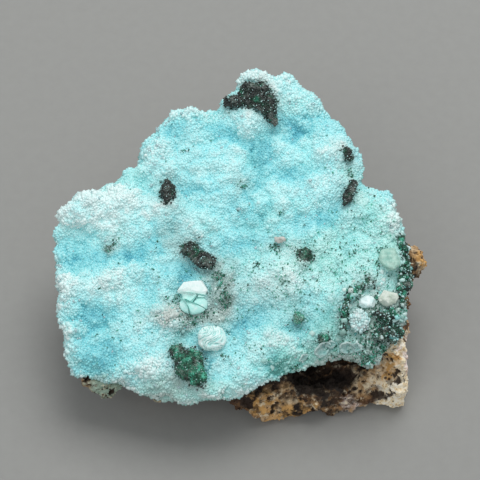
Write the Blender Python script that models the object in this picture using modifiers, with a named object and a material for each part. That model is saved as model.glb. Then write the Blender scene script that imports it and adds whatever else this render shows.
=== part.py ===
"""A hand specimen of chrysocolla with malachite.

A blue chrysocolla crust, grown over with small quartz crystals, lies as a sloping lid on a block of
brown gossan. Dark malachite tufts and pale chalky nodules sit in the crust. Metres, +Z up, the
specimen rests on z = 0, and its blue face slopes down towards -Y, where a viewer stands.
"""

import math
from collections import namedtuple

import bmesh
import bpy
from mathutils import Matrix, Vector, noise
from mathutils.bvhtree import BVHTree

MM = 0.001

# The blue face: its height above the table at the middle, and how steeply it falls towards the front
FACE_HEIGHT = 26.5 * MM
FACE_SLOPE = math.tan(math.radians(15.0))

# The crust is a plate with a rounded rim
CRUST_THICKNESS = 4.6 * MM
RIM_WIDTH = 3.6 * MM
RIM_DROP = 1.7 * MM
RIM_RAGGEDNESS = 1.5 * MM
CRUST_GRAIN = 1.95 * MM

# The gossan block under it, which the crust covers and overhangs
GOSSAN_COVER = 3.2 * MM
GOSSAN_GRAIN = 1.9 * MM
GOSSAN_ROUGHNESS = 3.6 * MM
VUG_DEPTH = 2.6 * MM
VUG_SPACING = 5.6 * MM
BASE_CONTACT = 0.55 * MM
GOSSAN_LEVELS = 7

# Room between pieces that touch: as cut, and for small pieces, whose skin is rebuilt after the cut.
# A small piece's middle is that much above the blue face.
CLEARANCE = 0.34 * MM
TUFT_CLEARANCE = 0.48 * MM
TUFT_LIFT = 0.4 * MM
TUFT_GRAIN = 0.38 * MM
CUTTER_GRAIN = 1.0 * MM

# How many triangles the two large pieces keep, and a small one, at least and per square millimetre
CRUST_TRIANGLES = 3400
GOSSAN_TRIANGLES = 2900
TUFT_TRIANGLES = 64
TUFT_DENSITY = 2.9

# The crust seen from above, counter-clockwise from the right-hand side
CRUST_OUTLINE = [(x * MM, y * MM) for x, y in (
    (37.9, -1.7), (36.7, 2.8), (36.4, 6.1), (34.3, 9.0), (31.2, 9.7), (29.0, 11.0),
    (28.1, 14.3), (28.6, 17.1), (27.3, 20.6), (24.2, 23.0), (21.4, 26.2), (21.0, 29.1),
    (18.4, 31.6), (15.9, 33.1), (14.6, 36.1), (10.4, 36.0), (6.9, 36.4), (4.7, 37.8),
    (1.7, 36.0), (0.5, 34.0), (-2.1, 29.8), (-2.7, 27.5), (-7.2, 27.0), (-9.5, 28.1),
    (-15.0, 26.3), (-15.2, 24.0), (-19.4, 21.5), (-20.0, 16.5), (-25.2, 12.4), (-25.4, 10.4),
    (-27.3, 10.1), (-29.7, 8.8), (-33.0, 9.0), (-35.2, 7.9), (-37.5, 4.4), (-38.9, 0.1),
    (-38.8, -4.5), (-37.6, -11.0), (-37.0, -16.9), (-36.4, -21.8), (-36.0, -28.6),
    (-32.3, -29.6), (-25.6, -31.3), (-20.7, -33.2), (-17.4, -34.2), (-11.0, -36.4),
    (-3.6, -36.2), (1.3, -34.7), (6.6, -32.2), (11.5, -30.9), (15.4, -28.8), (20.8, -26.3),
    (24.6, -26.0), (26.6, -26.6), (27.2, -29.6), (30.2, -29.8), (31.2, -26.0), (34.4, -22.9),
    (37.1, -18.0), (37.3, -10.6),
)]

# The gossan block where it meets the crust, and where it stands on the table
GOSSAN_TOP = [(x * MM, y * MM) for x, y in (
    (39.4, 0.6), (34.6, 5.0), (30.0, 8.6), (25.6, 11.6), (24.6, 17.6), (20.4, 23.6),
    (16.4, 29.4), (10.0, 32.4), (3.0, 31.8), (-2.0, 25.6), (-11.0, 24.0), (-16.8, 18.6),
    (-21.6, 11.6), (-30.0, 6.2), (-35.0, 0.6), (-34.8, -8.0), (-33.2, -16.0), (-31.0, -24.4),
    (-22.0, -27.8), (-15.2, -30.4), (-8.6, -31.6), (-2.0, -31.4), (6.0, -28.6), (12.0, -25.6),
    (18.0, -21.4), (24.0, -20.8), (28.6, -25.4), (33.4, -27.2), (38.6, -26.2), (39.8, -19.0),
    (38.6, -9.0), (40.4, -4.0),
)]
GOSSAN_BASE = [(x * MM, y * MM) for x, y in (
    (37.4, -2.0), (35.0, 6.0), (29.0, 14.0), (21.0, 21.6), (10.6, 27.4), (-3.0, 25.8),
    (-13.0, 20.4), (-21.0, 12.6), (-26.2, 4.0), (-27.0, -5.6), (-25.6, -14.6), (-22.0, -22.4),
    (-17.6, -27.6), (-14.4, -30.4), (-9.6, -30.2), (-2.7, -31.6), (1.7, -33.4), (6.6, -35.0),
    (11.4, -35.4), (15.6, -33.8), (19.4, -31.6), (23.8, -32.2), (27.2, -32.0), (31.4, -31.9),
    (35.2, -33.0), (40.8, -34.0), (39.6, -28.4), (38.8, -20.0), (37.8, -11.0),
)]

# Swells and hollows of the blue face: place, reach along X and Y, and height
Swell = namedtuple("Swell", "x y reach_x reach_y height")
SWELLS = [Swell(*(v * MM for v in row)) for row in (
    (-28.0, 4.6, 9.3, 2.4, 2.1), (-35.1, 2.8, 3.3, 3.3, 1.2), (-32.1, -4.2, 4.9, 4.0, -1.9),
    (-26.1, -9.6, 4.9, 3.6, 1.7), (-33.3, -14.0, 4.4, 2.2, 1.7), (-28.3, -22.1, 6.2, 4.9, -1.5),
    (-34.3, -22.1, 2.7, 3.1, 0.6), (-20.9, -22.5, 2.7, 2.7, 1.1), (-11.6, 3.0, 7.5, 4.0, 1.4),
    (3.5, 23.5, 3.1, 2.9, 2.0), (5.9, 16.2, 3.1, 5.8, -1.2), (14.8, 23.1, 3.6, 2.7, -1.4),
    (12.4, 5.0, 7.1, 3.3, 1.5), (-4.7, 12.9, 6.7, 3.6, 1.3), (21.3, 15.6, 3.8, 3.3, 1.4),
    (33.1, 2.8, 3.1, 3.6, 1.7), (17.8, 2.8, 4.4, 3.1, -1.1), (11.2, -10.3, 7.5, 4.4, 1.8),
    (0.6, -2.2, 4.0, 5.3, -1.2), (6.2, -18.9, 3.6, 3.1, -0.8), (8.9, -26.3, 4.0, 3.1, 1.5),
    (7.8, -30.9, 4.0, 1.8, -1.3), (2.6, -33.6, 4.4, 2.2, 1.2), (-17.5, -30.9, 4.0, 2.4, 1.3),
    (-11.7, -23.7, 3.1, 2.2, -0.9), (-13.5, -18.9, 4.0, 2.7, 1.0), (-2.4, -13.5, 3.1, 4.2, 0.7),
    (19.7, -16.7, 4.9, 4.9, 1.2), (6.0, 33.9, 4.0, 1.8, 1.1), (14.9, 31.1, 3.6, 2.7, 0.9),
    (-9.6, 24.7, 4.4, 2.7, 1.2), (-16.2, 17.4, 3.1, 3.1, 1.0), (-17.1, 9.5, 2.7, 3.6, -0.9),
    (22.6, 23.1, 3.1, 3.1, 0.8), (27.9, -3.8, 4.9, 4.0, -0.8), (-7.1, -9.2, 3.6, 3.6, -0.8),
    (29.2, -24.2, 4.0, 2.7, 0.8), (-1.8, 21.9, 3.1, 3.1, -0.9), (33.9, -6.0, 3.1, 2.7, 0.9),
)]

# The hollow that runs back into the gossan under the front of the crust, and the lumps added to it
Ball = namedtuple("Ball", "x y z size_x size_y size_z turn")


def ball(x, y, z, size_x, size_y, size_z, turn=0.0):
    """An ellipsoid by its centre and half sizes in millimetres, turned about Z in degrees."""
    sizes = (x, y, z, size_x, size_y, size_z)
    return Ball(*(v * MM for v in sizes), math.radians(turn))


GOSSAN_HOLLOWS = (
    ball(20.8, -22.4, 12.6, 9.4, 7.8, 8.4, 4),
    ball(20.8, -28.0, 12.4, 9.4, 5.2, 6.6, 4),
    ball(7.6, -31.6, 11.6, 5.0, 3.2, 2.6, 0),
    ball(40.6, -15.6, 9.0, 3.6, 5.4, 4.6, 0),
    ball(-31.0, 14.0, 5.0, 9.0, 8.0, 6.0, 30),
    ball(22.0, 30.0, 8.0, 9.0, 8.0, 6.0, 0),
)
GOSSAN_LUMPS = (
    ball(39.6, -3.4, 16.4, 3.0, 4.4, 5.0),
    ball(35.0, -25.4, 11.8, 3.6, 3.8, 5.4),
    ball(35.0, -28.6, 4.4, 4.0, 3.4, 5.2),
    ball(9.6, -32.4, 3.2, 7.4, 3.6, 3.6),
    ball(25.4, -30.4, 2.6, 4.8, 2.6, 3.0),
    ball(-14.6, -29.4, 5.4, 2.6, 2.2, 2.6),
    ball(-26.0, -27.0, 12.6, 9.0, 4.6, 2.8),
    ball(-31.0, -28.0, 12.4, 3.0, 3.0, 2.4),
    ball(-26.6, -29.0, 11.6, 4.6, 3.4, 2.8),
    ball(-21.0, -28.8, 11.0, 4.4, 3.4, 2.8),
    ball(0.0, 26.0, 12.0, 9.0, 5.0, 7.0),
    ball(-24.0, -8.0, 8.0, 6.0, 9.0, 6.0),
)

# Tufts and nodules: name, then its lumps by place on the face, half sizes along the face, and how
# far it stands out of the face, all in millimetres, and its turn in degrees
MALACHITE = {
    "malachite_cluster_top": ((5.1, 30.5, 3.6, 2.6, 2.2, -8), (7.7, 27.2, 2.0, 3.2, 2.5, 14),
                              (0.2, 28.1, 2.6, 1.8, 1.4, 12), (9.5, 23.8, 0.9, 1.5, 0.9, 0),
                              (4.0, 28.2, 3.0, 2.1, 1.7, 0)),
    "malachite_tuft_left": ((-14.0, 7.9, 1.7, 4.2, 1.7, 0),),
    "malachite_tuft_middle": ((-8.9, -4.9, 2.3, 2.0, 1.5, 0), (-6.1, -7.0, 3.1, 2.0, 1.8, -28)),
    "malachite_blade_upper": ((25.4, 16.0, 1.05, 2.2, 1.2, 24),),
    "malachite_blade_lower": ((26.4, 9.0, 1.1, 2.2, 1.4, -27), (25.1, 6.5, 1.2, 2.2, 1.3, -25)),
    "malachite_cluster_front": ((-9.1, -29.4, 3.3, 3.8, 1.7, 0), (-11.7, -26.7, 1.8, 1.6, 1.2, 0),
                                (-7.0, -32.1, 2.0, 2.0, 1.3, 0)),
    "malachite_tuft_olive": ((15.3, -6.4, 2.0, 1.9, 1.1, -30),),
    "malachite_tuft_green": ((14.1, -19.5, 1.5, 1.9, 1.1, 0),),
    "malachite_tuft_rim": ((19.6, -24.0, 1.6, 1.3, 0.9, 0),),
    "malachite_vein_right": ((25.6, -15.2, 1.7, 1.9, 1.4, 0), (28.8, -12.5, 3.4, 0.9, 1.1, 18),
                             (24.1, -18.2, 1.2, 3.2, 1.8, 0), (23.6, -22.2, 1.4, 2.4, 1.5, 0)),
    "malachite_cluster_right": ((33.6, -19.4, 2.6, 1.9, 1.7, 0), (31.4, -23.0, 2.2, 1.9, 1.5, 0),
                                (35.0, -22.4, 1.8, 2.3, 1.5, 0), (30.6, -18.9, 1.4, 1.1, 1.2, 0)),
    "malachite_band_edge": ((36.9, -4.2, 1.5, 3.0, 1.8, 10), (37.2, -8.3, 1.5, 3.0, 1.8, 0),
                            (36.6, -12.2, 1.5, 2.8, 1.7, -10), (36.5, -15.7, 1.2, 2.0, 1.4, 0)),
}
NODULES = {
    "pale_nodule_round": ((-4.2, -24.0, 3.4, 3.3, 2.4, 0),),
    "pale_nodule_cracked": ((-8.6, -13.2, 3.8, 2.0, 1.8, 0), (-8.4, -16.6, 3.5, 2.6, 1.4, 0)),
    "pale_nodule_cream": ((33.4, -15.3, 2.5, 2.2, 1.6, 20),),
    "pale_nodule_white": ((28.7, -16.2, 2.4, 1.9, 1.5, -12),),
    "pale_nodule_druse": ((27.0, -20.6, 2.3, 2.8, 1.9, 0),),
    "pale_nodule_plate": ((33.9, -7.2, 2.5, 3.3, 1.3, 12),),
    "pale_nodule_pebble": ((10.3, -3.1, 1.8, 1.2, 1.0, 0),),
}

# Colours as seen on the specimen, with roughness
Finish = namedtuple("Finish", "colour roughness")
FINISHES = {
    "chrysocolla": Finish((0.33, 0.68, 0.72), 0.35),
    "gossan": Finish((0.38, 0.25, 0.13), 0.9),
    "malachite": Finish((0.02, 0.07, 0.05), 0.5),
    "nodule": Finish((0.68, 0.86, 0.82), 0.8),
}


def radius_at(outline, angle):
    """How far the outline is from the origin in that direction."""
    across, along = math.cos(angle), math.sin(angle)
    best = 0.0
    for (ax, ay), (bx, by) in zip(outline, outline[1:] + outline[:1]):
        side_a = across * ay - along * ax
        side_b = across * by - along * bx
        if (side_a > 0) == (side_b > 0):
            continue
        share = side_a / (side_a - side_b)
        reach = (ax + (bx - ax) * share) * across + (ay + (by - ay) * share) * along
        best = max(best, reach)
    return best


def face_plane(y):
    """Height of the blue face's mean plane."""
    return FACE_HEIGHT + FACE_SLOPE * y


def relief(x, y):
    """How far the blue face swells above its mean plane."""
    height = 0.0
    for s in SWELLS:
        height += s.height * math.exp(-(((x - s.x) / s.reach_x) ** 2) - ((y - s.y) / s.reach_y) ** 2)
    return height + 0.55 * MM * noise.noise(Vector((x, y, 0.0)) / (4.5 * MM))


def crust_top(x, y):
    """Height of the crust's upper side, rounded down towards its rim."""
    inset = radius_at(CRUST_OUTLINE, math.atan2(y, x)) - math.hypot(x, y)
    short = min(max(1.0 - inset / RIM_WIDTH, 0.0), 1.0)
    return face_plane(y) + relief(x, y) - RIM_DROP * short ** 2


def crust_bottom(x, y):
    """Height of the crust's under side, a gentle surface that the gossan follows."""
    return face_plane(y) - CRUST_THICKNESS + 0.4 * MM * noise.noise(Vector((x, y, 0.02)) / (14 * MM))


def clear_scene():
    """Removes the startup objects."""
    for obj in list(bpy.data.objects):
        bpy.data.objects.remove(obj, do_unlink=True)


def collection(name):
    """A new collection in the scene."""
    made = bpy.data.collections.new(name)
    bpy.context.scene.collection.children.link(made)
    return made


def material(name):
    """A Principled material with the colour and roughness listed for that mineral."""
    finish = FINISHES[name]
    made = bpy.data.materials.new(name)
    made.use_nodes = True
    shader = made.node_tree.nodes["Principled BSDF"]
    shader.inputs["Base Color"].default_value = (*finish.colour, 1.0)
    shader.inputs["Roughness"].default_value = finish.roughness
    shader.inputs["Metallic"].default_value = 0.0
    return made


def new_object(name, bm, where):
    """An object in that collection from a bmesh, which is freed."""
    mesh = bpy.data.meshes.new(name)
    bm.to_mesh(mesh)
    bm.free()
    obj = bpy.data.objects.new(name, mesh)
    where.objects.link(obj)
    return obj


def apply_modifiers(obj):
    """Gives the object the mesh that its modifiers make."""
    graph = bpy.context.evaluated_depsgraph_get()
    mesh = bpy.data.meshes.new_from_object(obj.evaluated_get(graph))
    obj.modifiers.clear()
    obj.data = mesh


def remesh(obj, size):
    """Rebuilds the object from even quads of that size, which joins shapes that overlap."""
    voxels = obj.modifiers.new("even_quads", "REMESH")
    voxels.mode = "VOXEL"
    voxels.voxel_size = size
    apply_modifiers(obj)


def thin(obj, count):
    """Merges triangles where the shape is plain, down to about that many."""
    obj.data.calc_loop_triangles()
    fewer = obj.modifiers.new("fewer_triangles", "DECIMATE")
    fewer.ratio = min(count / len(obj.data.loop_triangles), 1.0)
    apply_modifiers(obj)


def move_points(obj, place):
    """Moves each vertex of the mesh to what place() returns for it."""
    bm = bmesh.new()
    bm.from_mesh(obj.data)
    bm.normal_update()
    moved = [place(v.co.copy(), v.normal.copy()) for v in bm.verts]
    for v, co in zip(bm.verts, moved):
        v.co = co
    bm.to_mesh(obj.data)
    bm.free()


def cut(obj, cutter):
    """Cuts the cutter's shape out of the object."""
    boolean = obj.modifiers.new("cut", "BOOLEAN")
    boolean.operation = "DIFFERENCE"
    boolean.solver = "EXACT"
    boolean.object = cutter
    apply_modifiers(obj)


def keep_largest_piece(obj):
    """Deletes crumbs that a cut left beside the main body, or hanging on it by a single point."""
    bm = bmesh.new()
    bm.from_mesh(obj.data)
    left = set(bm.faces)
    bodies = []
    while left:
        body, front = set(), [left.pop()]
        while front:
            face = front.pop()
            body.add(face)
            near = {other for e in face.edges if len(e.link_faces) == 2 for other in e.link_faces} & left
            left -= near
            front.extend(near)
        bodies.append(body)
    main = max(bodies, key=len)
    bmesh.ops.delete(bm, geom=[f for f in bm.faces if f not in main], context="FACES")
    bm.to_mesh(obj.data)
    bm.free()


def as_cutter(obj):
    """Marks a helper, which is drawn as wires and isn't part of the specimen."""
    obj.hide_render = True
    obj.display_type = "WIRE"
    return obj


def swollen_copy(obj, where, clearance):
    """A cutter that is the object grown by the clearance on all sides."""
    copy = bpy.data.objects.new(obj.name + "_cutter", obj.data.copy())
    where.objects.link(copy)
    grow = copy.modifiers.new("grow", "DISPLACE")
    grow.mid_level = 0.0
    grow.strength = clearance
    apply_modifiers(copy)
    return as_cutter(copy)


def even_swollen_copy(obj, where, grain):
    """A cutter for small pieces, with an even skin."""
    copy = swollen_copy(obj, where, TUFT_CLEARANCE)
    remesh(copy, grain)
    return copy


def add_ball(bm, b):
    """Adds an ellipsoid to the bmesh."""
    shape = (Matrix.Translation((b.x, b.y, b.z)) @ Matrix.Rotation(b.turn, 4, "Z")
             @ Matrix.Diagonal((b.size_x, b.size_y, b.size_z, 1.0)))
    bmesh.ops.create_uvsphere(bm, u_segments=20, v_segments=10, radius=1.0, matrix=shape)


def add_column(bm, rings):
    """Adds a closed column through rings, each a function that turns an angle into a point."""
    bmesh.ops.create_cone(bm, cap_ends=True, segments=120, radius1=1.0, radius2=1.0, depth=2.0)
    upright = [e for e in bm.edges if abs(e.verts[0].co.z - e.verts[1].co.z) > 1.0]
    bmesh.ops.subdivide_edges(bm, edges=upright, cuts=len(rings) - 2)
    for v in bm.verts:
        level = round((v.co.z + 1.0) / 2.0 * (len(rings) - 1))
        v.co = rings[level](math.atan2(v.co.y, v.co.x))


def nearness_to_rim(x, y):
    """One on the crust's outline, nought from the rim's width inwards."""
    inset = radius_at(CRUST_OUTLINE, math.atan2(y, x)) - math.hypot(x, y)
    return min(max(1.0 - inset / RIM_WIDTH, 0.0), 1.0)


def wobble(co, reach):
    """A smooth seeded shift of a point, different along X, Y and Z."""
    spot = co / reach
    return Vector([noise.noise(spot + Vector((17.0 * n, 5.0 * n, 29.0 * n))) for n in (1, 2, 3)])


def crust(where):
    """The chrysocolla plate: an even slab in the crust's outline, bent to its two surfaces."""
    def ring(height):
        def at(angle):
            reach = radius_at(CRUST_OUTLINE, angle)
            return Vector((reach * math.cos(angle), reach * math.sin(angle), height))
        return at

    bm = bmesh.new()
    add_column(bm, [ring(0.0), ring(CRUST_THICKNESS)])
    obj = new_object("chrysocolla_crust", bm, where)
    remesh(obj, CRUST_GRAIN)

    def place(co, normal):
        share = min(max(co.z / CRUST_THICKNESS, 0.0), 1.0)
        low, high = crust_bottom(co.x, co.y), crust_top(co.x, co.y)
        shift = wobble(co, 3.2 * MM) * RIM_RAGGEDNESS * nearness_to_rim(co.x, co.y)
        return Vector((co.x + shift.x, co.y + shift.y, low + (high - low) * share + 0.5 * shift.z))

    move_points(obj, place)
    thin(obj, CRUST_TRIANGLES)
    return obj


def gossan_ring(level):
    """One ring of the gossan column, between its outline on the table and the one at the crust."""
    share = level / (GOSSAN_LEVELS - 1)

    def at(angle):
        low, high = radius_at(GOSSAN_BASE, angle), radius_at(GOSSAN_TOP, angle)
        reach = low + (high - low) * share ** 1.5
        x, y = reach * math.cos(angle), reach * math.sin(angle)
        return Vector((x, y, share * (face_plane(y) - GOSSAN_COVER)))
    return at


def pitted(co, normal):
    """The place of a point of the gossan's skin once it is lumpy and full of vugs."""
    lumpy = noise.fractal(co / (8.5 * MM), 1.0, 2.0, 3)
    near_vug = noise.voronoi(co / VUG_SPACING)[0][0]
    vug = max(0.0, 0.45 - near_vug) / 0.45
    return co + normal * (GOSSAN_ROUGHNESS * lumpy - VUG_DEPTH * vug)


def on_the_table(co, normal):
    """Flattens what faces the table and comes near it, and lifts the foot of the walls clear of it."""
    if co.z >= BASE_CONTACT:
        return co
    return Vector((co.x, co.y, 0.0 if normal.z < -0.3 else BASE_CONTACT))


def gossan(where, helpers):
    """The brown block: a column between its two outlines, with lumps, hollows and a pitted skin."""
    bm = bmesh.new()
    add_column(bm, [gossan_ring(n) for n in range(GOSSAN_LEVELS)])
    for b in GOSSAN_LUMPS:
        add_ball(bm, b)
    obj = new_object("gossan_matrix", bm, where)
    remesh(obj, 0.7 * GOSSAN_GRAIN)

    for b in GOSSAN_HOLLOWS:
        bm = bmesh.new()
        add_ball(bm, b)
        cut(obj, as_cutter(new_object("gossan_hollow_cutter", bm, helpers)))
    remesh(obj, 0.7 * GOSSAN_GRAIN)
    move_points(obj, pitted)
    remesh(obj, GOSSAN_GRAIN)
    move_points(obj, on_the_table)
    thin(obj, GOSSAN_TRIANGLES)
    move_points(obj, on_the_table)
    return obj


def lumps_on_face(name, lumps, where):
    """A small piece made of ellipsoids that are half sunk in the blue face."""
    bm = bmesh.new()
    for x, y, size_x, size_y, stand, turn in lumps:
        height = (crust_top(x * MM, y * MM) + TUFT_LIFT) / MM
        add_ball(bm, ball(x, y, height, size_x, size_y, stand, turn))
    obj = new_object(name, bm, where)
    remesh(obj, TUFT_GRAIN)

    def place(co, normal):
        return co + normal * (0.3 * MM * noise.noise(co / (1.5 * MM)))

    move_points(obj, place)
    remesh(obj, TUFT_GRAIN)
    return obj


def skin(obj):
    """The object's surface, ready to be tested against another."""
    bm = bmesh.new()
    bm.from_mesh(obj.data)
    tree = BVHTree.FromBMesh(bm)
    bm.free()
    return tree


def seat(obj, cutters):
    """Trims a small piece so that it rests on its neighbours without touching them."""
    for cutter in cutters:
        if skin(obj).overlap(skin(cutter)):
            cut(obj, cutter)
            remesh(obj, TUFT_GRAIN)
    keep_largest_piece(obj)
    area = sum(face.area for face in obj.data.polygons) / MM ** 2
    thin(obj, max(TUFT_DENSITY * area, TUFT_TRIANGLES))


def centre_on_base(objects):
    """Shifts the specimen so that the origin is under the middle of its box, on the table."""
    corners = [obj.matrix_world @ v.co for obj in objects for v in obj.data.vertices]
    low = [min(c[n] for c in corners) for n in range(3)]
    high = [max(c[n] for c in corners) for n in range(3)]
    shift = Vector((-(low[0] + high[0]) / 2, -(low[1] + high[1]) / 2, -low[2]))
    for obj in objects:
        obj.data.transform(Matrix.Translation(shift))


def main():
    clear_scene()
    specimen = collection("chrysocolla_with_malachite")
    helpers = collection("cutters")

    plate = crust(specimen)
    block = gossan(specimen, helpers)
    seated = [even_swollen_copy(obj, helpers, CUTTER_GRAIN) for obj in (plate, block)]
    cut(block, swollen_copy(plate, helpers, CLEARANCE))
    keep_largest_piece(block)

    minerals = {"chrysocolla": [plate], "gossan": [block], "malachite": [], "nodule": []}
    for mineral, pieces in (("nodule", NODULES), ("malachite", MALACHITE)):
        for name, lumps in pieces.items():
            obj = lumps_on_face(name, lumps, specimen)
            seat(obj, seated)
            seated.append(even_swollen_copy(obj, helpers, TUFT_GRAIN))
            minerals[mineral].append(obj)

    for mineral, objects in minerals.items():
        finish = material(mineral)
        for obj in objects:
            obj.data.materials.clear()
            obj.data.materials.append(finish)
    centre_on_base([obj for objects in minerals.values() for obj in objects])


main()
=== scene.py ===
# %% [markdown]
# # A specimen of chrysocolla with malachite
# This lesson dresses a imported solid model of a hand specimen. A sky-blue crust of chrysocolla, grown
# over with a sugary skin of tiny quartz crystals, lies on a block of brown gossan. Dark malachite
# tufts and pale chalky nodules sit in the crust. The solids give the large shapes, and everything
# finer than about two millimetres is made here.

# %% Load the solids
import math

import bpy
import numpy as np
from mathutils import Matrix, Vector, noise
from mathutils.bvhtree import BVHTree


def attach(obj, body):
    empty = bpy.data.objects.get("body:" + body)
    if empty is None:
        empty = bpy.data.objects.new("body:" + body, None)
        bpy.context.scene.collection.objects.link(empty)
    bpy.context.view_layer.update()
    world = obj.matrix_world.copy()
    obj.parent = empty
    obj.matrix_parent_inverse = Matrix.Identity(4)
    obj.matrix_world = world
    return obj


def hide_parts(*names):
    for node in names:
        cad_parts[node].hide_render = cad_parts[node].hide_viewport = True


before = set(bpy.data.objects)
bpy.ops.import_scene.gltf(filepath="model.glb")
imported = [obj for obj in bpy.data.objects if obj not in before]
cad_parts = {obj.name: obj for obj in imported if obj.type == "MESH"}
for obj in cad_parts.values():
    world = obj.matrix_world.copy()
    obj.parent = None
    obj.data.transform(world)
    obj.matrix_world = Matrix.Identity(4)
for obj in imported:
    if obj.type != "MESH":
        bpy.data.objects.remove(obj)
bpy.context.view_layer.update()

MM = 0.001

# %% [markdown]
# ## Camera, table and light
# The specimen was photographed from well above, so the camera looks down at 58 degrees. A long lens
# keeps the shape free of distortion, as in the photograph. A short lens close by would show the
# front larger than the back. The light is one large soft source behind and above the specimen, with
# a weaker one in front, so that the shadow is short and falls forward.

# %% Camera
def linked(name, data):
    """A new object in the scene."""
    obj = bpy.data.objects.new(name, data)
    bpy.context.scene.collection.objects.link(obj)
    return obj


AIM = np.array([-0.14, -0.25, 21.5]) * MM
VIEW_HEIGHT = math.radians(58)
DISTANCE = 352 * MM

camera = linked("camera", bpy.data.cameras.new("camera"))
camera.data.lens = 120
camera.data.sensor_width = 36
camera.data.clip_start = 0.01
camera.location = AIM + DISTANCE * np.array([0, -math.cos(VIEW_HEIGHT), math.sin(VIEW_HEIGHT)])
camera.rotation_euler = (math.pi / 2 - VIEW_HEIGHT, 0, 0)
bpy.context.scene.camera = camera
print("camera at", [round(v, 4) for v in camera.location])


# %% Lights and table
def area_light(name, place, size, power):
    """A square light that points at the specimen."""
    light = linked(name, bpy.data.lights.new(name, "AREA"))
    light.data.size = size
    light.data.energy = power
    light.location = place
    light.rotation_euler = (-light.location).to_track_quat("-Z", "Y").to_euler()
    return light


area_light("light_behind", (0.1, 0.26, 0.64), 0.45, 3)
area_light("light_front", (-0.35, -0.45, 0.55), 0.6, 0.8)
print("lights:", len(bpy.data.lights))

world = bpy.data.worlds.new("studio")
bpy.context.scene.world = world
world.use_nodes = True
background = world.node_tree.nodes["Background"].inputs
background["Color"].default_value = (0.94, 0.97, 1, 1)
background["Strength"].default_value = 0.46
bpy.context.scene.view_settings.view_transform = "Standard"

bpy.ops.mesh.primitive_plane_add(size=3, location=(0, 0, 0))
table = bpy.context.object
table.name = "table"

# %% [markdown]
# ## Tools for rough natural surfaces
# A mineral surface has no edges to bevel. It is made by rebuilding a coarse solid from small even
# quads, smoothing its facets away, and pushing the surface in and out with noise of several sizes.
# Modifiers do this the way one would by hand, and each is applied at once, so that the next one works
# on its result.


# %% Helpers for meshes
def only(obj):
    """Selects one object and nothing else."""
    bpy.ops.object.select_all(action="DESELECT")
    obj.select_set(True)
    bpy.context.view_layer.objects.active = obj


def give(thing, settings):
    """Sets the named settings of a thing."""
    for name, value in settings.items():
        setattr(thing, name, value)


def apply(obj, kind, **settings):
    """Adds a modifier and applies it."""
    only(obj)
    made = obj.modifiers.new(kind.lower(), kind)
    give(made, settings)
    bpy.ops.object.modifier_apply(modifier=made.name)


def edit(tool, **settings):
    """Uses a tool of edit mode on the whole of the active mesh."""
    bpy.ops.object.mode_set(mode="EDIT")
    bpy.ops.mesh.select_all(action="SELECT")
    tool(**settings)
    bpy.ops.object.mode_set(mode="OBJECT")


def fine_copy(node, grain, smooth):
    """A copy of a solid in its place, rebuilt from even quads of that many millimetres and smoothed."""
    obj = linked(node + "_skin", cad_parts[node].data.copy())
    obj.data.materials.clear()
    only(obj)
    edit(bpy.ops.mesh.remove_doubles, threshold=0.001 * MM)
    apply(obj, "REMESH", mode="VOXEL", voxel_size=grain * MM)
    apply(obj, "SMOOTH", factor=0.5, iterations=smooth)
    apply(obj, "SUBSURF", levels=1, render_levels=1)
    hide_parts(node)
    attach(obj, "root")
    return obj


def bumps(obj, kind, size, strength, middle=0.5, **settings):
    """Pushes the surface in and out by a noise of that size and strength, in millimetres."""
    texture = bpy.data.textures.new(kind.lower(), kind)
    texture.noise_scale = size * MM
    give(texture, settings)
    apply(obj, "DISPLACE", texture=texture, texture_coords="LOCAL", strength=strength * MM,
          mid_level=middle)
    bpy.data.textures.remove(texture)


def join(name, pieces):
    """Joins pieces into one, which gets that name."""
    only(pieces[0])
    for piece in pieces:
        piece.select_set(True)
    bpy.ops.object.join()
    pieces[0].name = name
    return pieces[0]


# %% Helpers for numbers on a mesh
def rows_of(parts, kind, width, form=np.float32):
    """One property of all vertices, edges or triangles of a mesh, one row each."""
    found = np.empty(len(parts) * width, form)
    parts.foreach_get(kind, found)
    return found.reshape(-1, width)


def coordinates(obj):
    """The places of all vertices."""
    return rows_of(obj.data.vertices, "co", 3).astype(float)


def directions(obj):
    """The outward directions at all vertices."""
    return rows_of(obj.data.vertices, "normal", 3).astype(float)


def move_to(obj, places):
    """Puts all vertices at new places."""
    obj.data.vertices.foreach_set("co", places.astype(np.float32).ravel())
    obj.data.update()


def store(obj, **numbers):
    """Keeps named numbers at the vertices, which a material can read."""
    for name, values in numbers.items():
        kept = obj.data.attributes.new(name, "FLOAT", "POINT")
        kept.data.foreach_set("value", np.asarray(values, np.float32))


def unit(ways):
    """One direction or rows of them, made one long."""
    return ways / np.maximum(np.linalg.norm(ways, axis=-1, keepdims=True), 1e-12)


def noise_at(places, size, shift=0):
    """A smooth noise from about -0.7 to 0.7 at each place, with lumps of that many millimetres."""
    return np.array([noise.noise(row) for row in (places / (size * MM) + shift).tolist()])


def hollowness(obj, rounds):
    """How far each vertex lies below its surroundings, in millimetres."""
    places = coordinates(obj)
    a, b = rows_of(obj.data.edges, "vertices", 2, np.int32).T
    size = len(places)
    count = np.bincount(a, minlength=size) + np.bincount(b, minlength=size) + 1
    around = places.copy()
    for _ in range(rounds):
        for axis in range(3):
            values = around[:, axis]
            around[:, axis] = (values + np.bincount(a, values[b], size)
                               + np.bincount(b, values[a], size)) / count
    return ((around - places) * directions(obj)).sum(1) / MM

# %% [markdown]
# ## The blue crust
# Chrysocolla grows as soft rounded mounds, like the skin of a cauliflower. The solid has the large
# swells and hollows. Here it gets mounds of a few millimetres and a grainy skin on top of them.

# %% Shape the crust
FACE_HEIGHT = 26.5 * MM
FACE_MIDDLE_Y = -0.25 * MM
FACE_TILT = math.radians(15)
FACE_NORMAL = np.array([0, -math.sin(FACE_TILT), math.cos(FACE_TILT)])

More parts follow.
